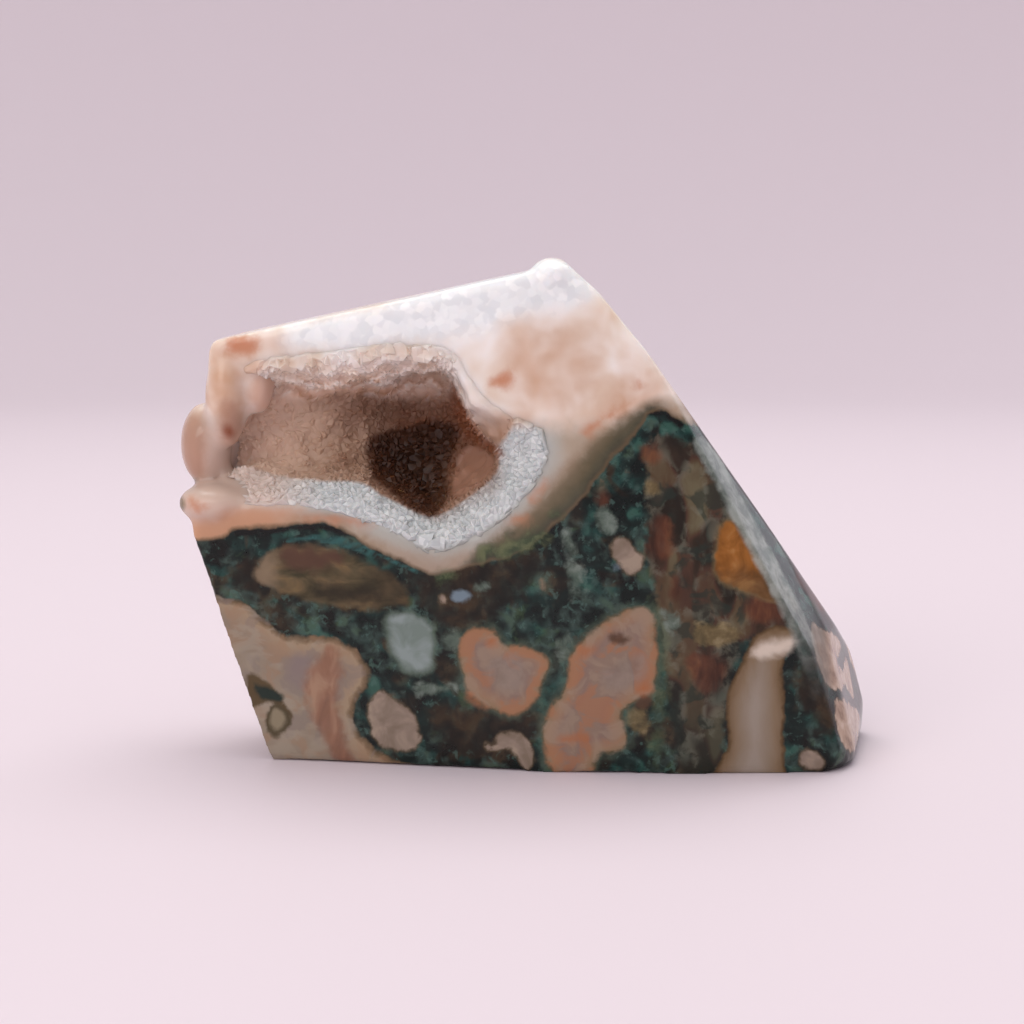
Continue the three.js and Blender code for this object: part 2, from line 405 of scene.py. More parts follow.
pattern = {
    "quartzTop": (0.0, [[
        (-60, 29), (-45.1, 29.8), (-41.5, 30.3), (-40.6, 31.6), (-38.7, 31.8), (-34.5, 31.9), (-31, 32.6),
        (-27.3, 32.7), (-24.7, 31.5), (-22, 29.7), (-19.5, 28.7), (-15.7, 27.3), (-13.3, 25.9),
        (-11.7, 26.2), (-9.3, 27.1), (-6.3, 28), (-3, 28.6), (0.1, 30.4), (4.1, 34.2), (7.2, 37.7),
        (10, 41.5), (13, 44.6), (14.8, 46.8), (15.4, 49.1), (18.4, 48.4), (21.4, 46.8), (26, 45.6),
        (60, 44), (60, 90), (-60, 90)]]),
    "lens": (0.3, [[
        (-38, 25.3), (-37.2, 27.4), (-34.1, 29.8), (-26.6, 29.7), (-21.9, 27.9), (-17.6, 25.6),
        (-15.6, 22.6), (-18.1, 21.4), (-25.6, 21.3), (-30.4, 22.1), (-36.4, 24.2)]]),
    "lensRed": (0.3, [[
        (-34.4, 28.5), (-32.4, 29.1), (-26.9, 28.6), (-25.4, 28.1), (-28.3, 26.8), (-31.1, 26.7),
        (-33.3, 27.5)]]),
    "lensDark": (0.3, [[
        (-30.4, 23.7), (-28.6, 24.6), (-21.7, 24.3), (-19.3, 23.5), (-20.1, 22.4), (-28.6, 22.4)]]),
    "pinkCorner": (0.0, [[
        (-47, 23.6), (-42, 22.3), (-39.1, 21.7), (-37, 19.6), (-33.9, 17.8), (-32.4, 17), (-29.2, 17.6),
        (-24, 16.5), (-22.6, 14.1), (-21.4, 11.8), (-22.1, 10.4), (-24, 7.6), (-24, 5.7), (-22, 2.9),
        (-19.5, 1.2), (-14.2, 0.1), (-12, -5), (-50, -5)]]),
    "redStreak": (0.2, [[
        (-27.3, 15.9), (-29.5, 13.7), (-30.8, 10.6), (-29.8, 7.9), (-29, 4.4), (-27.1, 1.4), (-25, -1),
        (-23, -1), (-24.6, 2.1), (-25.7, 5.9), (-26.1, 9.2), (-25.5, 12.7), (-26.5, 15.7)]]),
    "lilac": (0.3, [[
        (-33.5, 13.1), (-32.3, 14.5), (-30.6, 15), (-29.4, 13.7), (-30.6, 9.8), (-32.9, 11.3)]]),
    "cornerBrown": (0.1, [[
        (-38.7, 12.5), (-35.6, 10.4), (-32.9, 7.5), (-32.2, 6.2), (-32.6, 5.3), (-34.8, 8), (-37.6, 7.7),
        (-37.9, 5.4), (-36.6, 1), (-37.5, 1), (-39.5, 8.1)]]),
    "cornerGreen": (0.2, [[
        (-38.4, 10.7), (-35.1, 9.6), (-33.6, 9), (-33.6, 8), (-36.5, 8.2)]]),
    "eye": (0.5, [[
        (-35.1, 7.8), (-33.9, 7.3), (-33, 6.3), (-33, 4.6), (-34.9, 3.1), (-36.1, 5.7)]]),
    "creamPatches": (0.4, [
        [(-22, 8.4), (-20.8, 9.8), (-19, 10.1), (-17.6, 8.8), (-16, 7.7), (-15, 5.2), (-14.7, 2.2),
         (-19.4, 2), (-21.4, 4.6)],
        [(-6.3, 3.7), (-5.3, 3.1), (-4.2, 3.6), (-4.3, 4.6), (-3.2, 5.2), (-1.8, 5.2), (-0.4, 4.3),
         (0.9, 1.6), (-0.3, 0.2), (-1.5, 2.1), (-2.6, 3), (-5.5, 2.6)],
        [(36.2, 2.9), (37.7, 3.5), (39.3, 1.2), (38.8, 0.1), (35.7, 1)],
        [(12.4, 41.2), (13.3, 40.8), (13, 40.2), (12, 40.4)],
        [(-12, 23.5), (-11.1, 22.7), (-12.2, 22.3)],
        [(10.4, 30.9), (11.4, 31.5), (12.8, 31.3), (15.3, 28.6), (13.6, 26.6), (12.2, 27.1)]]),
    "nodules": (0.35, [
        [(-9.3, 17.9), (-8.5, 18.9), (-6.8, 19.4), (-5.2, 19.1), (-4.2, 18.4), (-4, 17.3), (-3.2, 16.8),
         (0.1, 16.8), (2.8, 15.3), (2.4, 13.8), (0.9, 9.8), (-0.4, 8.2), (-2.3, 7.7), (-4.3, 8), (-6.5, 9),
         (-8.2, 10.4), (-9.5, 13.9)],
        [(14.6, 22.6), (15.8, 22.2), (16.8, 20.5), (16.9, 12.4), (15.8, 10.8), (12.6, 9.1), (12.1, 7.8),
         (13.3, 4), (11, 2.5), (9.2, 3), (8.4, 0.5), (8.2, -2), (4.1, -2), (1.8, 3.3), (1.7, 5.7),
         (3, 9.4), (5.1, 11.5), (5.3, 16), (7.4, 18.6), (10.9, 21.3)],
        [(1, 26.2), (1.8, 25.8), (2.1, 24.7), (1.4, 24.2)],
        [(8.8, 39.4), (9.6, 39.1), (9.6, 38.2), (8.9, 38.1)]]),
    "noduleCores": (0.4, [
        [(-5.8, 14.3), (-4.2, 15.7), (-2.3, 15.5), (-0.7, 13.9), (-1, 11.8), (-2.8, 10.6), (-5, 11.4)],
        [(9.4, 13.2), (11, 14.8), (13.3, 16.1), (15.2, 16.4), (15.5, 14.8), (14.2, 12.7), (12, 11.3),
         (9.9, 11.3)]]),
    "paleBlue": (0.3, [
        [(-19.8, 20.8), (-16.5, 21), (-13.6, 20.2), (-12.9, 16.8), (-13, 13.2), (-16.4, 12.6),
         (-18.8, 15)]]),
    "greyPatches": (0.4, [
        [(-15.8, 11.3), (-10.9, 11.5), (-9.6, 11), (-13.3, 9.8), (-15.2, 10.1)],
        [(8.8, 35.5), (10.1, 35.9), (11.3, 32.9), (10.1, 31.8), (8.3, 34.2)],
        [(4.6, 27.7), (5.6, 28.6), (7.1, 26.2), (6.3, 24.6), (5.1, 24.8)],
        [(5, 24.6), (6.7, 24.9), (7.8, 23.8), (5.7, 23)],
        [(3.8, 31.7), (4.8, 32.3), (6.4, 29.1), (5.9, 28.3)],
        [(-8.2, 24.7), (-6.6, 25.4), (-5, 25.1), (-7.1, 23.6)],
        [(-12.4, 17.7), (-10.3, 19), (-8.7, 18.8), (-9.5, 16.6), (-11.4, 15.7)],
        [(3.5, 17.8), (4.9, 19), (5.7, 17.9), (4.1, 14.4)],
        [(15.4, 46.5), (18.9, 46.8), (21, 45.4), (19.4, 45.6), (17.3, 46)],
        [(17.3, 21.8), (18.6, 22.3), (20.2, 20.5), (18.9, 18.9)]]),
    "brownZone": (0.0, [[
        (16.9, 46.2), (21.3, 44.9), (24.3, 41.3), (31.9, 28.2), (34.8, 22.9), (36, 19.8), (30.5, 18.8),
        (27.2, 16.7), (25.6, 7.3), (26.4, 3.9), (25.1, -5), (21.6, -5), (17.9, 10), (17.5, 20.7),
        (15.7, 28.6), (15.2, 39.1), (15.7, 43.6)]]),
    "olivePatches": (0.3, [
        [(20.9, 19.1), (22.6, 20.5), (26.8, 19.9), (28.7, 18.4), (25.5, 17.5), (21.5, 17.3)],
        [(12.9, 9), (15.2, 8.8), (16.4, 7), (15, 5.4), (13.2, 5.6)],
        [(14.8, 39.9), (17.2, 39.7), (17.4, 37.5), (15.2, 37.3)]]),
    "redBrown": (0.2, [
        [(21, 16.5), (25.5, 16.1), (26.3, 13.8), (23.4, 9.8), (20.8, 14.1)],
        [(27.6, 22.5), (29.2, 24.1), (32.7, 24.3), (34.3, 21.1), (30, 19.9)],
        [(14.2, 43.8), (15.6, 45.4), (17.2, 44.6), (17.6, 42.4), (16.2, 41.4), (14.6, 42.2)],
        [(15.8, 35), (18.6, 34.6), (19, 30), (17.6, 28), (15.9, 29.4)],
        [(18.2, 26.6), (19.8, 27), (20.2, 23.4), (18.6, 22.8)],
        [(8.4, 38.4), (10, 38.6), (10.2, 36), (8.6, 35.8)]]),
    "amber": (0.15, [[
        (24.7, 33.7), (26, 34.1), (27.6, 33.5), (30.6, 28.5), (33.4, 23), (31.1, 23.5), (26.8, 25.1),
        (24, 26.6), (24.2, 29.6)]]),
    "creamBand": (0.0, [[
        (29.4, 18), (30.8, 19.1), (33.2, 19.5), (35.2, 19.3), (33.8, 16.7), (33.1, 15), (33.6, 9.9),
        (33.5, 3.4), (34.4, -2), (24, -4), (24.9, 0.3), (27, 4.3), (26.4, 6.8), (26.5, 10), (27.3, 12.7),
        (28.5, 14.8)]]),
    "orange": (0.3, [
        [(-31.6, 33), (-28.5, 33.8), (-22.5, 33.6), (-20.5, 32.4), (-26.1, 33)],
        [(-3.2, 33.6), (-1.8, 34.5), (-0.3, 34.3), (-1.2, 33.4)],
        [(-0.8, 36.6), (0.4, 38.4), (1.8, 39.2), (1.3, 37.6), (0, 36.2)],
        [(6.3, 45.8), (10.7, 48.8), (13, 50.5), (13.6, 49.8), (9.1, 46.1), (7.2, 44.6)],
        [(12.8, 53.3), (13.8, 53), (14.4, 51.7), (12.9, 51.4)],
        [(-46.3, 35.6), (-45.2, 35.5), (-44.1, 34.3), (-46.1, 34.2)],
        [(-41.9, 58), (-39.5, 58.4), (-36.6, 57.4), (-37.2, 55.4), (-39.6, 54.8), (-42, 55.4)],
        [(-6.3, 52.4), (-5, 53.8), (-2.8, 54.9), (-2.3, 51.7), (-5.7, 51.1)],
        [(-6, 18), (-5, 18.4), (-4.3, 17.3), (-5.6, 16.4)],
        [(6.5, 17.1), (8, 17.4), (9.1, 16.4), (7, 15.3)],
        [(3.6, 4.7), (5.4, 5.3), (7.8, 5.1), (8.1, 4.2), (3.8, 3.9)],
        [(13.6, 10.8), (15, 11.9), (16.3, 12.4), (16, 11.1)],
        [(-8.5, 10.7), (-6.9, 9.4), (-5, 8.1), (-7.9, 8.8)]]),
    "darkSpots": (0.4, [
        [(10.7, 18.8), (12.3, 18.9), (13.6, 18.3), (13.1, 17.5), (11.2, 17.7)],
        [(-40.6, 58.9), (-38.2, 59.3), (-38, 58), (-39.8, 57.5)],
        [(13.9, 9.7), (15.2, 10.5), (16.6, 9.5), (14.2, 8.6)]]),
    "tanMoss": (0.3, [
        [(-7, 29.8), (-5.5, 30.7), (-4.3, 29.9), (-6.3, 28.2)],
        [(-3.9, 32), (-2.6, 32.7), (-1.8, 32), (-2.8, 31)],
        [(1.7, 34), (3, 35.5), (3.8, 34.9), (2.7, 33.5)],
        [(-13.3, 26), (-11.7, 26.7), (-9.9, 26.5), (-12.2, 25.1)],
        [(-5.5, 29.2), (-3.5, 30.6), (0.9, 32.6), (2.4, 32.2), (-0.2, 29.7), (-3.8, 28.4)]]),
    "brownMoss": (0.25, [
        [(-17.1, 28.4), (-11.8, 26.4), (-3.9, 28.4), (1.4, 30.4), (2.1, 26.4), (-3.9, 21.7), (-7.9, 17.7),
         (-13.2, 19.7), (-16.5, 24.4)],
        [(-13.8, 9.7), (-7.9, 8.1), (1.4, 9.1), (0.8, 3.7), (-6.5, 1.7), (-13.2, 3.7)],
        [(35.2, 15.1), (37.9, 16.4), (40.5, 9.7), (41.2, 4.4), (37.9, 6.4), (35.9, 9.7)],
        [(-37.3, 28.4), (-36.4, 23.1), (-39.4, 23.1), (-41.4, 26.4)]]),
    "blueFlecks": (0.5, [
        [(-10.8, 23.7), (-9.2, 24.5), (-7.6, 24.1), (-7.9, 22.7), (-10.5, 22.3)],
        [(11, 28.4), (12.3, 28.9), (13.1, 27.6), (11.5, 27.1)],
        [(10, 40.4), (11.2, 40.9), (12.6, 39.8), (11, 39)]]),
    # painted highlight: a pale cap at the top of the cream band
    "creamCap": (0.2, [[
        (29, 16.1), (30.3, 17.7), (33.9, 18.1), (35.5, 18.5), (34.6, 16.4), (31.3, 15.7)]]),
    "oliveEdge": (0.1, [[
        (14.7, 23.1), (16.3, 23.6), (18.4, 17.7), (17.9, 1.7), (15.7, -0.3), (16.7, 9.7)]]),
    "whiteSugar": (0.0, [[
        (-31.2, 60.1), (-14.5, 64.4), (2.1, 70.4), (7.4, 66.4), (4.7, 62), (-3.2, 60.6), (-7.9, 58.9),
        (-11.8, 58.2), (-16.5, 58), (-22.5, 57.2), (-31.2, 56), (-35.3, 56.6)]]),
    "peachClouds": (0.0, [
        [(-3.5, 58.8), (1.4, 60.1), (6.7, 58.7), (9.1, 55.1), (8.1, 50.8), (4.1, 48.1), (-0.6, 44.4),
         (-2.8, 46.4), (-1.9, 50.4), (-3.9, 54.4)],
        [(11, 56.1), (14.7, 57.1), (18.4, 52.4), (21.3, 47.1), (16.3, 48.7), (12.7, 46.4), (9.4, 42.4),
         (4.7, 37.7), (0.1, 35.7), (-0.2, 39.1), (4.1, 42.4), (8.1, 47.1), (11, 51.1)],
        [(-45.4, 57.6), (-38.7, 59.1), (-32.6, 57.1), (-36.4, 53.5), (-38.6, 49.7), (-36.4, 46.4),
         (-40, 37.7), (-46.2, 36.4), (-48.9, 45.7)]]),
    "lobeShade": (0.1, [
        [(-42.4, 48.5), (-40.4, 49.6), (-39, 47.5), (-39.3, 44), (-41, 43.2), (-42.3, 44.9)],
        [(-48.5, 49), (-44.8, 48.5), (-43.8, 44), (-44.9, 38.5), (-49, 38)]]),
    "lobeCream": (0.1, [[
        (-39.2, 52), (-37, 54.2), (-33.6, 53.4), (-33.6, 48.5), (-36, 46.4), (-38.6, 47.8)]]),
    "lobeSpot": (0.2, [[
        (-42.1, 45.6), (-41, 46.6), (-40, 45.5), (-40.8, 44.3)]]),
    "oliveTips": (0.1, [
        [(-48.5, 39.6), (-46.6, 39.6), (-45.6, 38.6), (-47, 37.4)],
        [(-49.5, 36.4), (-47.4, 36), (-46.9, 34.2), (-48.6, 33.4)]]),
    # painted sheen: where the bevel is painted pale, a painted reflection
    "bevel": (0.24, [[
        (20.8, 46.6), (24.4, 46), (28.6, 38.2), (33.2, 29), (36.6, 21.7), (39, 15.4), (41, 9.7),
        (41.6, 5.1), (39.6, 4.4), (37.2, 12.4), (34.4, 19.7), (29.9, 28.4), (25, 36), (21.3, 43.1)]]),
    # painted sheen: the flank is painted pinkish, a painted reflection of the pale pink surroundings
    "flankGlow": (0.2, [[
        (25, 45), (29.4, 38), (34.2, 29.4), (37.2, 21.7), (39.5, 14), (44, 14), (41, 26), (34, 40),
        (27, 47)]]),
    "fringe": (0.0, [[
        (-9.5, 25.5), (-8, 28.8), (-3.9, 32.4), (1.4, 37.6), (5.4, 42.2), (9.4, 45.4), (14.7, 49.6),
        (17.5, 49.6), (16, 46.5), (13, 43), (10, 40), (6, 35), (0, 28.5), (-6, 26)]]),
    "blackLine": (0.0, [
        [(-39.9, 31), (-33.8, 31.8), (-28.8, 32.3), (-25.3, 31.8), (-21.7, 30.5), (-20.1, 29.2)],
        [(15, 48.7), (16.5, 48.8), (18.1, 48.3), (19.7, 47.2)]]),
    "tealLine": (0.0, [
        [(-33.1, 30.3), (-28.6, 31), (-23.9, 30.3), (-19.5, 28.3), (-15.2, 26.5)],
        [(-28.3, 30.3), (-25.5, 30), (-21.2, 28.4)]]),
}

drawnLines = ("blackLine", "tealLine")
flankPattern = {  # patches of the flank alone, depth and height
    "creamPatches": [
        [(-11.2, 19.7), (-10, 18.1), (-1.7, 15.2), (-2.2, 13.9), (-9.3, 13.8), (-5.4, 11.4), (-6.8, 9.7),
         (-14.1, 10.7), (-15.7, 12.9), (-15.8, 16.4)],
        [(1.2, 13.2), (-2, 6.4), (-6, 9), (-6.3, 11)],
        [(-13.7, 9.5), (-7.4, 7.3), (-0.8, 4.7), (-0.6, 2.1), (-9.1, 1.2), (-15.3, 2.4), (-15.7, 5.5),
         (-15.4, 7.9)],
        [(4, 16), (8, 14), (12, 9), (11, 4), (6, 3), (5, 8), (3, 11)]],
    "nodules": [
        [(4.5, 32), (6.5, 34.8), (10, 34.2), (11.5, 31), (9, 27), (5.5, 28)]],
    "greyPatches": [
        [(5, 25), (9, 26), (12.5, 23), (9, 20), (6, 21.5)],
        [(0, 42), (4, 43), (7, 40), (5, 38), (1, 39)]],
    "redBrown": [
        [(-6, 37), (-1, 37), (3, 25), (1, 19.5), (-6, 19.5), (-9.5, 26)]],
    "brownMoss": [
        [(-5, 43), (3, 43.5), (12, 40), (14, 30), (12, 20), (4, 17), (2, 26), (-3, 36)]],
}

patternDepth = {
    "drift": (0.16, -0.10),  # how far an outline moves sideways and up with each millimetre of depth
    "sway": 1.6,
    "swayFrom": (0.0, 6.0),
    "swaySize": 12.0,
    "shallow": 1.5,  # behind this depth the closed patches start to narrow
    "backY": 16.6,
    "backShift": (4.0, -1.5),  # the back repeats the front's patches, mirrored and moved by this
    "backAgain": 0.24,  # patches that close faster than this come again on the back
    "flankStart": 36.5,  # the flank's own patches lie to the right of this
}

# Where the stone touches the crust, x and height on the front face
contactOutline = [
    (-57, 33), (-44.3, 33.3), (-38, 34.8), (-31, 35), (-24.2, 33.8), (-17.3, 31.3), (-12.9, 28.6),
    (-7.9, 30.5), (-2.6, 34.1), (1.4, 38.8), (3, 42.8), (1.7, 46.3), (-2.6, 47.5), (-6, 49.8),
    (-7.9, 52.8), (-9.9, 56.4), (-17.3, 57.1), (-25.4, 56), (-32.9, 55.1), (-38.5, 54.2), (-43.7, 53.4),
    (-57, 51.5)]


def fieldOf(outlines, places, closed=True):
    return np.max([distanceInside(places, outline, closed) for outline in outlines], axis=0)


def notePattern(piece):
    points = pointsOf(piece)
    x, y, z = points.T
    frontY = np.max([y0 + math.tan(math.radians(turn)) * (x - x0) for x0, y0, turn in frontFacets], axis=0)
    depth = np.maximum(y - frontY, 0)
    sway = patternDepth["sway"] * smoothStep(*patternDepth["swayFrom"], depth)
    swayX = sway * noiseAt(points, patternDepth["swaySize"], 2)
    swayZ = sway * noiseAt(points, patternDepth["swaySize"], 3)
    drift = patternDepth["drift"]
    places = np.stack([x - drift[0] * depth + swayX, z - drift[1] * depth + swayZ], axis=1)
    shift = patternDepth["backShift"]
    mirrored = np.stack([shift[0] - x + swayX, z + shift[1] + swayZ], axis=1)
    flank = np.stack([y, z], axis=1)
    behind = np.maximum(depth - patternDepth["shallow"], 0)
    beforeBack = np.maximum(patternDepth["backY"] - y - patternDepth["shallow"], 0)
    for name, (closing, outlines) in pattern.items():
        closed = name not in drawnLines
        field = fieldOf(outlines, places, closed) - closing * behind
        if closing > patternDepth["backAgain"]:
            field = np.maximum(field, fieldOf(outlines, mirrored, closed) - closing * beforeBack)
        if name in flankPattern:
            beside = np.minimum(fieldOf(flankPattern[name], flank), x - patternDepth["flankStart"])
            field = np.maximum(field, beside)
        noteOn(piece, name, field)
    noteOn(piece, "behind", depth)
    noteOn(piece, "contact", distanceInside(seenFromFront(points), contactOutline))


lowTone = "#A8AAA4"  # quartz of the stone and of the crust where they meet under the hollow


def quartzTone(vat, here, ragged):
    milk = vat.cloud(here, 6.5, 2.0, 0.5, 0.3)
    grain = vat.mottle(here, 1.15, 0.9, 0.4)
    cream = vat.ramp(milk, {0.36: "#DDCAB8", 0.50: "#E8DED4", 0.64: "#F0ECE8"})
    sugar = vat.mix(grain, "#DFE4E6", "#F2F6F6")
    tone = vat.over(cream, sugar, vat.note("whiteSugar") + ragged, -1.8, 1.6)
    peach = vat.ramp(milk, {0.36: "#C3997B", 0.50: "#CFAE95", 0.64: "#DDC8B6"})
    tone = vat.over(tone, peach, vat.note("peachClouds") + ragged, -3.0, 3.6, 0.75)
    return vat.over(tone, "#C98A66", vat.note("orange") + ragged * 0.5, -0.6, 1.0, 0.7)


def mossTone(vat, here):
    broad = vat.cloud(here, 6.5)
    blobs = vat.mottle(here, 2.2, 2.2, 0.9)
    earth = vat.cloud(vat.places(shift=(31.0, 17.0, 5.0)), 6.0)
    leaf = vat.cloud(vat.places(shift=(-13.0, 41.0, 9.0)), 3.4, 3.0, 0.5, 0.5)
    moss = vat.ramp(broad * 0.5 + blobs * 0.5, {
        0.36: "#0A1412", 0.47: "#0F1E1B", 0.54: "#152B28", 0.61: "#1D3C37", 0.70: "#2F5248"})
    brown = vat.ramp(blobs, {0.25: "#110E0A", 0.50: "#231B12", 0.75: "#3E3020"})
    moss = vat.over(moss, brown, earth, 0.50, 0.60, 0.85)
    moss = vat.over(moss, "#3C5236", leaf, 0.58, 0.70, 0.6)
    pale = vat.seams(here, 3.0, 2.0, 1.0) * vat.step(0.46, 0.62, leaf)
    moss = vat.mix(pale * 0.4, moss, "#4E655E")
    flecks = vat.cloud(here, 1.3, 3.0, 0.6, 0.4)
    moss = vat.over(moss, "#4C6A62", flecks, 0.56, 0.68, 0.45)
    return vat.over(moss, "#0A1311", flecks, 0.46, 0.36, 0.5)


def agateMaterial():
    vat = Vat("polished_agate")
    note, step, ramp, over, mix = vat.note, vat.step, vat.ramp, vat.over, vat.mix
    here = vat.places()
    across = vat.along(here, "X")
    height = vat.along(here, "Z")
    medium = vat.cloud(here, 2.4, 4.0, 0.55, 0.3)
    fine = vat.cloud(here, 0.8, 2.0, 0.5, 0.0)
    layered = vat.cloud(vat.places((0.35, 1.0, 1.0)), 2.0)
    upright = vat.cloud(vat.places((1.0, 1.0, 0.4)), 2.6, 3.0, 0.55, 0.6)
    blotch = vat.cloud(vat.places(shift=(3.0, 9.0, -14.0)), 3.4)
    tall = vat.places((1.0, 1.0, 0.45))
    lumps = vat.mottle(tall, 3.4, 3.2, 0.5)
    ragged = (medium - 0.5) * 2.4 + (fine - 0.5) * 0.35

    # Brown zone with upright streaks and pale seams
    brown = ramp(lumps * 0.6 + upright * 0.4, {
        0.26: "#201B14", 0.40: "#31261C", 0.52: "#463126", 0.62: "#4F3F2D", 0.78: "#625B45"})
    brown = over(brown, "#222E28", blotch, 0.50, 0.60, 0.7)
    brown = over(brown, "#16221C", height + ragged * 3.0, 16.0, 4.0, 0.6)
    pale = vat.seams(tall, 3.4, 3.2, 0.8) * step(0.44, 0.60, medium)
    brown = mix(pale * 0.35, brown, "#7A7C6C")
    amber = ramp(blotch * 0.6 + upright * 0.4, {
        0.36: "#5A3A14", 0.46: "#7E4E1C", 0.54: "#925E28", 0.64: "#A97C48"})
    lowAmber = ramp(blotch, {0.38: "#4A3820", 0.5: "#5E452B", 0.62: "#7A5E3A"})
    amber = over(amber, lowAmber, height + ragged * 2.0, 29.0, 24.5, 0.85)

    # Lens with layered browns
    lens = ramp(layered, {0.36: "#38321F", 0.48: "#4E442E", 0.58: "#5F5038", 0.70: "#74603F"})
    lens = over(lens, "#33281A", across + ragged, -24.0, -18.0, 0.6)
    lens = over(lens, "#86745E", across + ragged, -33.0, -36.0, 0.8)

    # Cream patches, and nodules in rings with orange blotches
    cream = ramp(blotch, {0.36: "#77695A", 0.5: "#857669", 0.64: "#978878"})
    # on the flank the cream patches are painted lighter, painted light where the side gets less of the
    # lamps
    flankCreamLit = ramp(medium, {0.34: "#8E7460", 0.44: "#A88D78", 0.54: "#B8A08B", 0.66: "#C6B09E"})
    cream = over(cream, flankCreamLit, across, 39.5, 41.5)
    rings = ramp((note("nodules") + ragged * 0.7) / 4.0, {
        0.0: "#605038", 0.08: "#867058", 0.22: "#8F735C", 0.40: "#8A705E", 0.60: "#806B60",
        0.80: "#847062"})
    rings = over(rings, "#9C6A4A", blotch, 0.48, 0.58, 0.6)
    rings = over(rings, "#948270", blotch, 0.48, 0.38, 0.5)

    # Pink corner with its streak, and the cream band on the right
    pink = ramp((note("pinkCorner") + ragged * 0.8) / 8.0, {
        0.0: "#4E4230", 0.07: "#74614A", 0.13: "#97846C", 0.22: "#94816C", 0.40: "#877868",
        1.0: "#8C8070"})
    pink = over(pink, "#94745A", blotch, 0.50, 0.64, 0.4)
    pink = over(pink, "#7C706A", blotch, 0.48, 0.38, 0.5)
    greyer = vat.cloud(vat.places((0.5, 1.0, 1.0), (9.0, 0.0, 21.0)), 3.0, 3.0, 0.5, 0.5)
    pink = over(pink, "#9A9080", greyer, 0.50, 0.62, 0.5)
    streak = ramp(upright, {0.3: "#6E4A3A", 0.5: "#875F4A", 0.7: "#A07E66"})
    band = ramp(note("creamBand") / 4.0 + (upright - 0.5) * 0.5, {
        0.0: "#6E5940", 0.20: "#7E6B55", 0.50: "#877969", 0.85: "#92877B"})

    # Each patch lies over the one before
    surface = vat.layers(mossTone(vat, here), ragged, [
        ("brownMoss", ramp(blotch, {0.36: "#15120D", 0.5: "#251C13", 0.64: "#3C2D1C"}),
         0.9, 1.6, 0.0, 0.85),
        ("blueFlecks", "#71838F", 0.5, 1.0, -0.2, 0.9),
        ("brownZone", brown, 0.6, 1.3),
        ("redBrown", ramp(upright, {0.35: "#3A2218", 0.55: "#5A3524", 0.75: "#7A4E30"}),
         0.7, 1.0, 0.0, 0.85),
        ("oliveEdge", ramp(medium, {0.35: "#2E3C2C", 0.55: "#49563E", 0.70: "#6A7050"}),
         0.8, 1.4, 0.0, 0.6),
        ("amber", "#7C6A48", 0.5, 0.6, 0.2, 0.6),
        ("amber", amber, 0.3, 0.6, -0.1),
        ("olivePatches", ramp(medium, {0.3: "#3E3624", 0.55: "#6A5C3E", 0.75: "#8E8060"}),
         0.5, 1.2, 0.0, 0.9),
        ("lens", lens, 0.6, 0.9, -0.1, 0.95),
        ("lensRed", "#50372B", 0.8, 1.2, 0.4, 0.9),
        ("lensDark", "#251F14", 0.9, 0.9, 0.0, 0.85),
        ("greyPatches", ramp(medium, {0.3: "#34443B", 0.5: "#56645A", 0.7: "#7C8880"}),
         0.6, 1.4, 0.0, 0.85),
        ("paleBlue", "#56655A", 0.5, 1.0, 0.4, 0.8),
        ("paleBlue", ramp(blotch, {0.38: "#6E7C76", 0.6: "#84918F"}), 0.6, 0.7, -0.3),
        ("creamPatches", "#5A4C3A", 0.3, 0.8, 0.25, 0.8),
        ("creamPatches", cream, 0.25, 0.9),
        ("nodules", "#4C5A4C", 0.9, 1.4, 0.6, 0.6),
        ("nodules", rings, 0.4, 0.7, 0.05),
        ("noduleCores", ramp(medium, {0.35: "#76685F", 0.6: "#887B72"}), 0.9, 0.8, 0.0, 0.65),
        ("pinkCorner", pink, 0.25, 0.8),
        ("lilac", "#7E716F", 1.4, 1.0, 0.0, 0.8),
        ("redStreak", streak, 1.0, 1.3, 0.0, 0.85),
        ("cornerBrown", "#54452E", 0.4, 0.8),
        ("cornerGreen", "#1E2A24", 0.4, 0.6),
        ("eye", "#4A402C", 0.35, 0.9, 0.3),
        ("eye", "#857A64", 0.45, 0.6, -0.4),
        ("creamBand", "#523E26", 0.25, 0.6, 0.35),
        ("creamBand", band, 0.3, 0.6),
        # the last patch is a painted highlight on the cream band's top
        ("creamCap", "#D8CCBE", 0.8, 0.7, 0.0, 0.8)])

    # Painted reflection: the bevel is painted pale grey-green and the flank beside it pinkish, a painted
    # sheen of the bright room that fades lower down
    sheenFade = step(8.0, 28.0, height + ragged * 2.0) * 0.85
    # painted reflection on the flank, only in its upper part
    flankSheen = step(-0.4, 0.4, note("flankGlow") + ragged * 0.3) * step(19.0, 27.0, height)
    surface = mix(flankSheen * 0.8, surface, ramp(upright, {0.36: "#6E5A50", 0.64: "#93786C"}))
    # painted reflection on the bevel, paler higher up
    bevel = ramp(medium, {0.38: "#66706A", 0.50: "#828A84", 0.62: "#98A09A"})
    surface = mix(step(-0.5, 0.3, note("bevel") + ragged * 0.4) * sheenFade, surface, bevel)

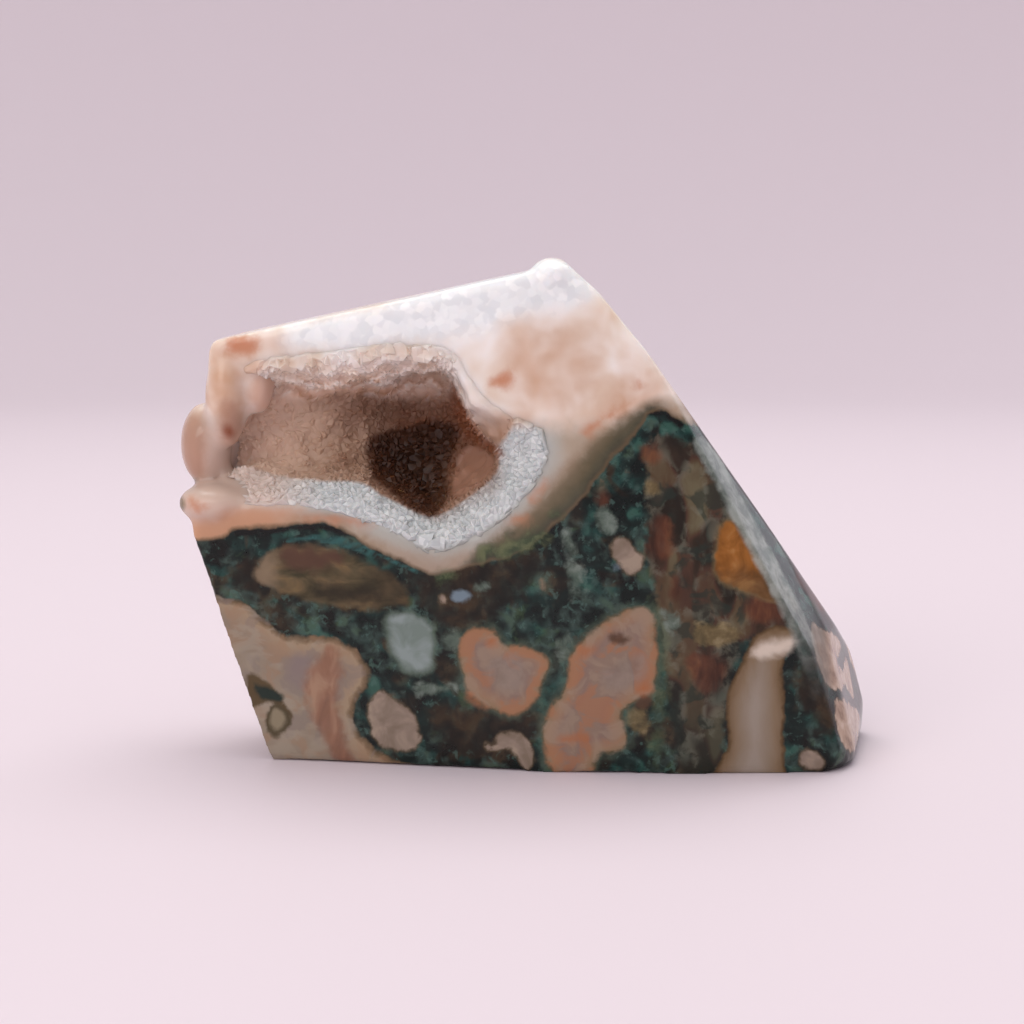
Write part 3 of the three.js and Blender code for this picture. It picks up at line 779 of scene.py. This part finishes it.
    # Quartz and cream above the contact line
    topField = note("quartzTop") + ragged * 0.5
    low = step(48.0, 44.0, height + ragged) * step(18.0, 12.0, note("behind") + ragged * 2.0)
    leftEnd = step(-27.0, -37.0, across + ragged * 2.0) * low
    besideCrust = step(-3.4, 0.2, note("contact") + ragged * 0.6)
    quartz = mix(low * 0.9, quartzTone(vat, here, ragged), mix(besideCrust, "#A89985", lowTone))
    quartz = mix(leftEnd * 0.8, quartz, "#D2B8A8")
    edge = ramp(blotch, {0.36: "#98826A", 0.50: "#A59480", 0.64: "#B0A392"})
    quartz = over(quartz, edge, topField, 2.4, 0.6, 0.85)
    quartz = mix(leftEnd * step(4.0, 1.6, topField) * 0.9, quartz, "#C29474")
    quartz = over(quartz, "#A39282", height + ragged, 31.0, 27.0, 0.7)
    fringe = ramp(topField / 6.0 + (blotch - 0.5) * 0.3, {
        0.0: "#2E3226", 0.16: "#464430", 0.33: "#5B533B", 0.50: "#6F624B", 0.68: "#8A7761",
        0.86: "#9E8B76", 1.0: "#AA9A87"})
    quartz = vat.lay(quartz, ragged, "fringe", fringe, 1.3, 1.2, 0.0, 0.95)
    quartz = over(quartz, "#6A563C", topField, 0.7, 0.1, 0.7)
    greenMoss = ramp(medium, {0.35: "#1C2A1E", 0.50: "#3A4A30", 0.65: "#626A48"})
    quartz = vat.layers(quartz, ragged, [
        ("lobeCream", "#C9A088", 1.2, 0.6, 0.0, 0.8),
        ("lobeShade", "#A87E66", 1.2, 0.6, 0.0, 0.75),
        ("lobeSpot", "#86411F", 0.8, 0.3, 0.0, 0.9),
        ("oliveTips", "#6E6246", 0.5, 0.5, 0.0, 0.85),
        ("tanMoss", greenMoss, 0.9, 1.6, 0.0, 0.9),
        ("darkSpots", "#4E3628", 0.4, 1.0),
        ("orange", "#BE7F5A", 1.0, 1.2, 0.2, 0.65)])
    surface = vat.layers(surface, ragged, [
        ("darkSpots", "#4E3626", 0.5, 1.0, 0.0, 0.9),
        ("orange", "#A0623C", 0.8, 0.8, -0.1, 0.8),
        ("tanMoss", greenMoss, 0.9, 1.6, 0.0, 0.9),
        ("tealLine", "#2E5A58", 0.25, 0.3, 0.2),
        ("blackLine", "#0C0E0D", 0.35, 0.5, 0.5)])
    polish = step(0.3, 0.7, medium) * 0.08
    ground = vat.quartzShader(surface, polish + 0.10, 0.2, 0.05, (1.0, 0.8, 0.7), 1.0)
    milky = vat.quartzShader(quartz, polish + 0.16, 0.3, 0.6, (1.0, 0.84, 0.74), 3.0)
    share = step(-0.25, 0.25, topField)
    return vat.finish(vat.node("MixShader", {}, {0: share, 1: ground, 2: milky}))


# The crust of crystals in the hollow

crust = {
    "fineness": 0.45,  # side of a surface cell before crystals grow
    "pressed": 0.9,  # the crust's edge reaches this far sideways into the stone
    "pressedFrom": (-40.0, -36.0),  # but not at the thin left end
    "heldBack": 0.4,  # where it keeps inside the thin wall
    "sunk": 0.05,  # the edge sinks under the stone's face by this
    "sunkFrom": 0.9,
    "lumpSize": 1.9,
    "lumpRelief": 0.45,
    "ledgeRise": 2.1,  # from one ledge of the roof to the next
    "ledgeRelief": 0.9,
    "ledgeSway": 1.5,
    "ledgeSwaySizes": (3.0, 1.3),
    "loose": (1.0, 2.4),  # lumps and ledges start this far from the stone
    "coarser": 0.22,  # share of the surface points that stay as crystal tips
    "wander": 0.16,  # the surface is shaken by this, so that no two crystals are alike
    "tall": (0.22, 0.52),  # how far a tip stands out on the rim
    "low": 0.10,  # how far the corners between crystals sink in
    "lean": 0.14,
    "wallTall": 0.34,  # share of that height on the wall
    "caveTall": 0.4,
    "ledgeTall": 0.3,
    "roofRim": 1.9,  # the rim is this broad above the ledges
    "grown": (-0.1, 0.6),  # crystals start and are full grown this far from the stone
    "seed": 11,
}

# Outlines of the hollow as they are seen from the front, x and height
hollow = {
    "contact": contactOutline,
    "inset": [  # edge of the opening
        (-57, 34.5), (-45.3, 36.5), (-42.8, 37.7), (-40, 39.5), (-37.5, 38.8), (-33, 37.8), (-27.1, 38.6),
        (-22.2, 38.5), (-20.3, 36.9), (-18, 35.8), (-12.9, 33.2), (-7.3, 36.7), (-3.5, 40.1), (-4.2, 43.6),
        (-6.6, 45.1), (-9, 50), (-10.4, 53.4), (-15, 53.6), (-20.7, 52.3), (-27, 51.1), (-34.1, 51.9),
        (-39.8, 50.8), (-44.7, 49.4), (-57, 48)],
    "dusk": [
        (-21.4, 42.8), (-19.2, 45.7), (-17.2, 48.7), (-13.2, 49.7), (-9.9, 51.7), (-7.9, 49.7),
        (-6.6, 45.7), (-4.6, 43.7), (-3.9, 40.4), (-4.3, 37.7), (-7.9, 36.4), (-9.9, 34.8), (-12.3, 33.7),
        (-14.5, 35.7), (-17.9, 38.4), (-20.1, 40.7)],
    "cave": [
        (-21.9, 43.6), (-21.5, 40.4), (-20.5, 38.4), (-18.2, 37.1), (-16.5, 35.1), (-13.2, 33.6),
        (-11.4, 34.8), (-10.6, 37.7), (-10.9, 40.4), (-9.7, 43.1), (-9, 45.7), (-10.4, 46.6),
        (-13.8, 46.8), (-17.1, 45.7), (-20.5, 45.3)],
    "redWall": [
        (-10.3, 51.7), (-8.2, 50.8), (-4.2, 44.4), (-3.2, 41.5), (-6.3, 43.1), (-8.9, 44.4),
        (-10.3, 48.4)],
    "patch": [(-9.9, 41), (-8.5, 43.6), (-6, 43.3), (-4, 40.9), (-7, 37.9), (-10.6, 35.6)],
    "ledges": [
        (-36.5, 53.5), (-32.8, 55.7), (-26.5, 56.4), (-19.2, 56.8), (-13.9, 57.1), (-9.5, 54), (-7.9, 50),
        (-9.9, 49.1), (-13.2, 50), (-17.2, 49.5), (-22.5, 50.8), (-30.5, 50), (-35.1, 49.5)],
    "smooth": [
        (-10.4, 52.4), (-9, 57), (-1, 50.5), (-2, 46.2), (-4, 43.2), (-6.2, 44.6), (-8.6, 48.8)],
    "smoothLeft": [
        (-46.4, 40.4), (-42.5, 39.3), (-40.5, 37.7), (-41.5, 35.7), (-43.5, 33.7), (-45.1, 32.4),
        (-47.8, 36.4)],
    "creamEnd": [
        (-50, 60), (-34.5, 57), (-36.5, 52.2), (-37, 49.5), (-36.4, 47.1), (-39.4, 45.8), (-50, 47)],
}


def seenFromFront(points):
    eye = np.array(studio["target"]) + studio["cameraDistance"] * np.array(cameraBack())
    behind = points[:, 1] - stone["mouthY"]
    share = behind / (points[:, 1] - eye[1])
    seen = points + share[:, None] * (eye - points)
    return seen[:, [0, 2]]


def hollowFields(points):
    seen = seenFromFront(points)
    fields = {name: distanceInside(seen, outline) for name, outline in hollow.items()}
    for name in ("whiteSugar", "peachClouds", "orange"):
        fields[name] = fieldOf(pattern[name][1], seen)
    flat = np.stack([seen[:, 0], 0 * seen[:, 0], seen[:, 1]], axis=1)
    broad, fine = crust["ledgeSwaySizes"]
    wander = crust["ledgeSway"] * (noiseAt(flat, broad, 5) + 0.5 * noiseAt(flat, fine, 6))
    fields["ledge"] = ((fields["inset"] + wander) / crust["ledgeRise"]) % 1.0
    return fields


def shapeCrust(piece):
    points = pointsOf(piece)
    fields = hollowFields(points)
    even = smoothStep(1.0, -1.0, fields["creamEnd"])
    roof = smoothStep(-0.5, 1.5, fields["ledges"]) * even
    inside = smoothStep(-0.5, 1.5, fields["inset"]) * even
    lumps = crust["lumpRelief"] * noiseAt(points, crust["lumpSize"], 7) * np.maximum(inside, roof)
    ledges = crust["ledgeRelief"] * (0.5 - fields["ledge"]) * roof
    loose = smoothStep(*crust["loose"], awayFrom("agate_stone", piece))
    setPoints(piece, points + (loose * (lumps + ledges))[:, None] * normalsOf(piece))
    applyModifier(piece, "REMESH", mode="VOXEL", voxel_size=crust["fineness"] * mm)


def growthAt(fields, away):
    rim = smoothStep(1.0, 0.0, fields["inset"])
    cave = crust["caveTall"] * smoothStep(-0.5, 1.0, fields["dusk"])
    size = crust["wallTall"] + (1 - crust["wallTall"]) * np.maximum(rim, cave)
    scalloped = np.minimum(fields["ledges"], fields["contact"] - crust["roofRim"])
    size = size * (1 - (1 - crust["ledgeTall"]) * smoothStep(-0.4, 0.4, scalloped))
    bare = np.maximum.reduce([fields[name] for name in ("smooth", "smoothLeft", "patch", "creamEnd")])
    return size * smoothStep(*crust["grown"], away) * smoothStep(0.4, -0.4, bare)


def selectFaces(piece, chosen):
    selectOnly(piece)
    mode("EDIT")
    bpy.ops.mesh.select_mode(type="FACE")
    bpy.ops.mesh.select_all(action="DESELECT")
    mode("OBJECT")
    piece.data.polygons.foreach_set("select", chosen)
    mode("EDIT")


def growCrystals(piece):
    generator = np.random.default_rng(crust["seed"])
    points = pointsOf(piece)
    growth = growthAt(hollowFields(points), awayFrom("agate_stone", piece))
    setPoints(piece, points + crust["wander"] * (growth > 0)[:, None] * generator.normal(size=points.shape))
    group = piece.vertex_groups.new(name="crystals")
    for index in np.nonzero(growth > 0)[0].tolist():
        group.add([index], 1.0, "REPLACE")
    share = np.mean(growth > 0)
    applyModifier(piece, "DECIMATE", ratio=1 - share + share * crust["coarser"], vertex_group="crystals")
    piece.vertex_groups.clear()

    # Each point becomes a tip, each face's middle a corner between three crystals
    growth = growthAt(hollowFields(pointsOf(piece)), awayFrom("agate_stone", piece))
    tips = len(growth)
    grown = [all(growth[v] > 0 for v in face.vertices) for face in piece.data.polygons]
    inner = set()
    seen = set()
    for face, isGrown in zip(piece.data.polygons, grown):
        for key in face.edge_keys if isGrown else ():
            (inner if key in seen else seen).add(key)
    selectFaces(piece, grown)
    bpy.ops.mesh.poke()
    bpy.ops.mesh.select_mode(type="EDGE")
    bpy.ops.mesh.select_all(action="DESELECT")
    mode("OBJECT")
    for edge in piece.data.edges:
        edge.select = edge.key in inner
    mode("EDIT")
    bpy.ops.mesh.edge_rotate()
    mode("OBJECT")
    points = pointsOf(piece)
    outward = normalsOf(piece)
    outward[:tips] += crust["lean"] * generator.normal(size=(tips, 3))
    heights = np.full(len(points), -crust["low"])
    heights[:tips] = growth * generator.uniform(*crust["tall"], tips)
    setPoints(piece, points + heights[:, None] * outward)
    print("crystals", np.count_nonzero(growth > 0))


def makeCrust():
    piece = crustCopy("druzy_crust_dressed")
    points = pointsOf(piece)
    away = awayFrom("agate_stone", piece)
    body = smoothStep(*crust["pressedFrom"], points[:, 0])
    backed = away < stone["backed"]
    pressed = crust["pressed"] * body * backed
    sunk = crust["sunk"] * smoothStep(crust["sunkFrom"], 0.0, away)
    held = crust["heldBack"] * (1 - body) * backed
    normals = normalsOf(piece)
    moved = pressed[:, None] * (1, 0, 1) - sunk[:, None] * (0, 1, 0) - held[:, None]
    setPoints(piece, points + moved * normals)
    shapeCrust(piece)
    growCrystals(piece)
    for name, field in hollowFields(pointsOf(piece)).items():
        noteOn(piece, name, field)
    tone = piece.data.attributes.new("tone", "FLOAT", "FACE")
    tone.data.foreach_set("value", np.random.default_rng(crust["seed"]).random(len(piece.data.polygons)))
    return piece


def crystalMaterial():
    vat = Vat("quartz_druzy")
    note, step, ramp, over, mix = vat.note, vat.step, vat.ramp, vat.over, vat.mix
    here = vat.places()
    height = vat.along(here, "Z")
    across = vat.along(here, "X")
    cloud = vat.cloud(here, 2.6, 4.0, 0.55, 0.3)
    broad = vat.cloud(here, 6.0, distortion=0.0)
    ragged = (cloud - 0.5) * 2.0
    tone = note("tone")
    contact = note("contact")
    quartz = quartzTone(vat, here, ragged)
    frost = mix(tone, "#BEC5C6", "#E2E7E6")
    low = step(48.0, 45.0, height + ragged)
    surface = mix(low, quartz, over(lowTone, frost, contact + ragged * 0.5, -0.2, 0.9))
    leftEnd = step(-27.0, -37.0, across + ragged * 2.0) * low
    surface = mix(leftEnd * 0.8, surface, "#DCC6B8")
    wall = mix(tone * 0.35 + step(0.3, 0.7, broad) * 0.65, "#92705A", "#B39680")
    # painted light: the wall is painted lighter towards its left end, where light comes into the hollow
    wall = over(wall, "#EED2BC", across + ragged * 2.0, -24.0, -38.0, 0.8)
    surface = over(surface, wall, note("inset") + ragged * 0.15 - leftEnd * 1.6, -0.1, 0.5)
    # painted light on the roof's ledges: each is lighter at its raised edge, a painted highlight, and
    # darker under the next edge, painted shade
    ledge = ramp(note("ledge") + (cloud - 0.5) * 0.5, {
        0.0: "#FFF2E8", 0.22: "#F8E2D2", 0.6: "#E8C8B0", 0.95: "#CFA688"})
    ledge = over(ledge, quartz, contact + ragged * 1.5, 6.0, 1.2, 0.9)
    # dusk and cave below make the hollow darker inwards: partly the crust's own iron-stained brown, partly
    # painted shade of the deep hollow
    caveStainAndShade = ramp((note("cave") + ragged * 0.4) / 5.0, {
        0.0: "#52301B", 0.3: "#3E2110", 0.8: "#2C1508"})
    surface = vat.layers(surface, ragged, [
        ("ledges", ledge, 1.0, 1.0),
        ("dusk", mix(tone * 0.4, "#7C5138", "#A0755A"), 2.7, 1.2, -0.7, 0.9),
        ("cave", mix(tone * 0.2, caveStainAndShade, "#7E5234"), 0.6, 0.4),
        ("redWall", "#8E5738", 0.8, 0.5, 0.0, 0.9),
        ("patch", "#B0866F", 0.3, 0.0, -0.1),
        ("smooth", over(quartz, "#AC886E", height + ragged, 50.0, 45.0, 0.9), 0.5, 0.0),
        ("creamEnd", "#DDBBA3", 1.1, 0.0, 0.3, 0.9)])
    rough = step(-0.5, 1.5, note("inset")) * 0.3 + 0.25
    return vat.finish(vat.quartzShader(surface, rough, 0.4, 0.6, (1.0, 0.86, 0.78), 1.6, clear=0.08))


# Floor, light and camera

studio = {
    "floorRadius": 0.7,  # in metres
    "floorSides": 96,
    "rimRadius": 0.5,  # in metres, of the wall round the floor
    "rimSteps": 12,
    "floorColour": "#DDD1D9",
    "floorRoughness": 0.6,
    "worldColour": "#F4EFF3",
    "worldStrength": 0.52,
    "cameraDistance": 300.0,
    "cameraRise": 7.0,
    "target": (-2.3, 0.0, 33.0),
    "lens": 75.6,
    "filmWidth": 36.0,
    "nearest": 0.01,  # in metres
}

# Each light: place in metres, width, depth, power in watts, colour
lights = {
    "overhead": ((0.0, 0.25, 0.90), 0.90, 0.70, 6.2, "#FFFDF9"),
    "frontLeft": ((-0.50, -0.85, 0.65), 0.80, 0.60, 5.0, "#FFFBF6"),
    "rightBack": ((0.70, 0.56, 0.36), 0.50, 0.40, 0.6, "#F0F7FF"),
}


def makeFloor():
    bpy.ops.mesh.primitive_circle_add(
        vertices=studio["floorSides"], radius=studio["floorRadius"], fill_type="NGON")
    floor = bpy.context.object
    floor.name = "studio_floor"
    selectOnly(floor)
    mode("EDIT")
    bpy.ops.mesh.select_all(action="SELECT")
    steps = studio["rimSteps"]
    radius = studio["rimRadius"]
    for step in range(steps):
        before = math.radians(90 * step / steps)
        after = math.radians(90 * (step + 1) / steps)
        grown = studio["floorRadius"] + radius * math.sin(after)
        scale = grown / (studio["floorRadius"] + radius * math.sin(before))
        rise = radius * (math.cos(before) - math.cos(after))
        bpy.ops.mesh.extrude_region_move(TRANSFORM_OT_translate={"value": (0, 0, rise)})
        bpy.ops.transform.resize(value=(scale, scale, 1))
    bpy.ops.mesh.delete(type="ONLY_FACE")
    mode("OBJECT")
    selectOnly(floor)
    bpy.ops.object.shade_smooth()
    vat = Vat("pale_floor")
    paint = vat.shader({"Base Color": studio["floorColour"], "Roughness": studio["floorRoughness"]})
    floor.data.materials.append(vat.finish(paint))


def makeLights():
    centre = Vector(studio["target"]) * mm
    for name, (place, width, depth, power, tint) in lights.items():
        data = bpy.data.lights.new(name, "AREA")
        data.shape = "RECTANGLE"
        data.size = width
        data.size_y = depth
        data.energy = power
        data.color = colour(tint)[:3]
        lamp = bpy.data.objects.new(name, data)
        lamp.location = place
        lamp.rotation_euler = (centre - Vector(place)).to_track_quat("-Z", "Y").to_euler()
        bpy.context.scene.collection.objects.link(lamp)
    world = bpy.data.worlds.new("soft_room")
    world.use_nodes = True
    background = world.node_tree.nodes["Background"]
    background.inputs["Color"].default_value = colour(studio["worldColour"])
    background.inputs["Strength"].default_value = studio["worldStrength"]
    bpy.context.scene.world = world


def cameraBack():
    rise = math.radians(studio["cameraRise"])
    return Vector((0, -math.cos(rise), math.sin(rise)))


def makeCamera():
    back = cameraBack()
    centre = Vector(studio["target"]) * mm
    data = bpy.data.cameras.new("camera")
    data.lens = studio["lens"]
    data.sensor_width = studio["filmWidth"]
    data.clip_start = studio["nearest"]
    camera = bpy.data.objects.new("camera", data)
    camera.location = centre + back * studio["cameraDistance"] * mm
    camera.rotation_euler = back.to_track_quat("Z", "Y").to_euler()
    bpy.context.scene.collection.objects.link(camera)
    bpy.context.scene.camera = camera


stonePiece = makeStone()
notePattern(stonePiece)
print("pattern", len(pattern), "kinds of patches")
finishPiece(stonePiece, "agate_stone", agateMaterial())
crustPiece = makeCrust()
finishPiece(crustPiece, "druzy_crust", crystalMaterial())
makeFloor()
makeLights()
makeCamera()
print("floor, lights and camera")
bpy.context.scene.view_settings.view_transform = "Standard"
